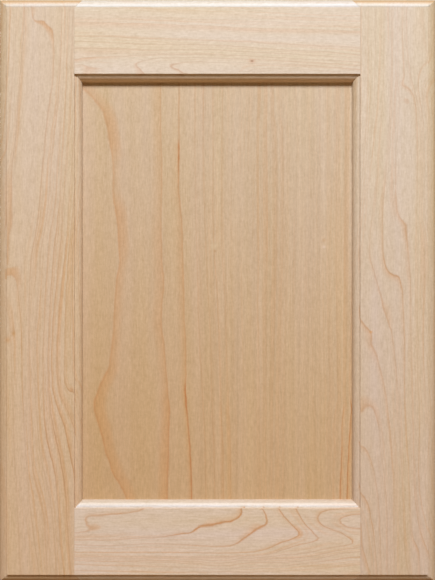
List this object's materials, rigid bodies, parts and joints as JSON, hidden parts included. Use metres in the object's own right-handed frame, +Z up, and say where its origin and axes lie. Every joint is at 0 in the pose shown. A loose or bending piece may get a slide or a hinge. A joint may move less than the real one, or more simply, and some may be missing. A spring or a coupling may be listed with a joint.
{
  "type": "cabinet door",
  "caption": "Flat recessed-panel cabinet door in clear wood: moulded stiles and rails with coped joints, stepped quarter-round edges, and hinge cup bores in the back.",
  "frame": {"origin": "middle of the bottom edge, half way through the thickness", "axes": "+X across the width to the right of someone facing the front, +Y from the front to the back, +Z up"},
  "size_m": [0.3048, 0.019, 0.4064],
  "materials": {
    "stile_wood": "satin, upright maple grain with reddish streaks",
    "rail_wood": "satin, level maple grain",
    "panel_wood": "satin, upright golden maple veneer",
    "spacer_rubber": "matt"
  },
  "bodies": {
    "root": {"left_stile": "stile_wood", "right_stile": "stile_wood", "top_rail": "rail_wood", "bottom_rail": "rail_wood", "panel": "panel_wood", "panel_spacer_left_lower": "spacer_rubber", "panel_spacer_left_upper": "spacer_rubber", "panel_spacer_right_lower": "spacer_rubber", "panel_spacer_right_upper": "spacer_rubber", "panel_spacer_bottom_left": "spacer_rubber", "panel_spacer_bottom_right": "spacer_rubber", "panel_spacer_top_left": "spacer_rubber", "panel_spacer_top_right": "spacer_rubber"}
  },
  "joints": []
}
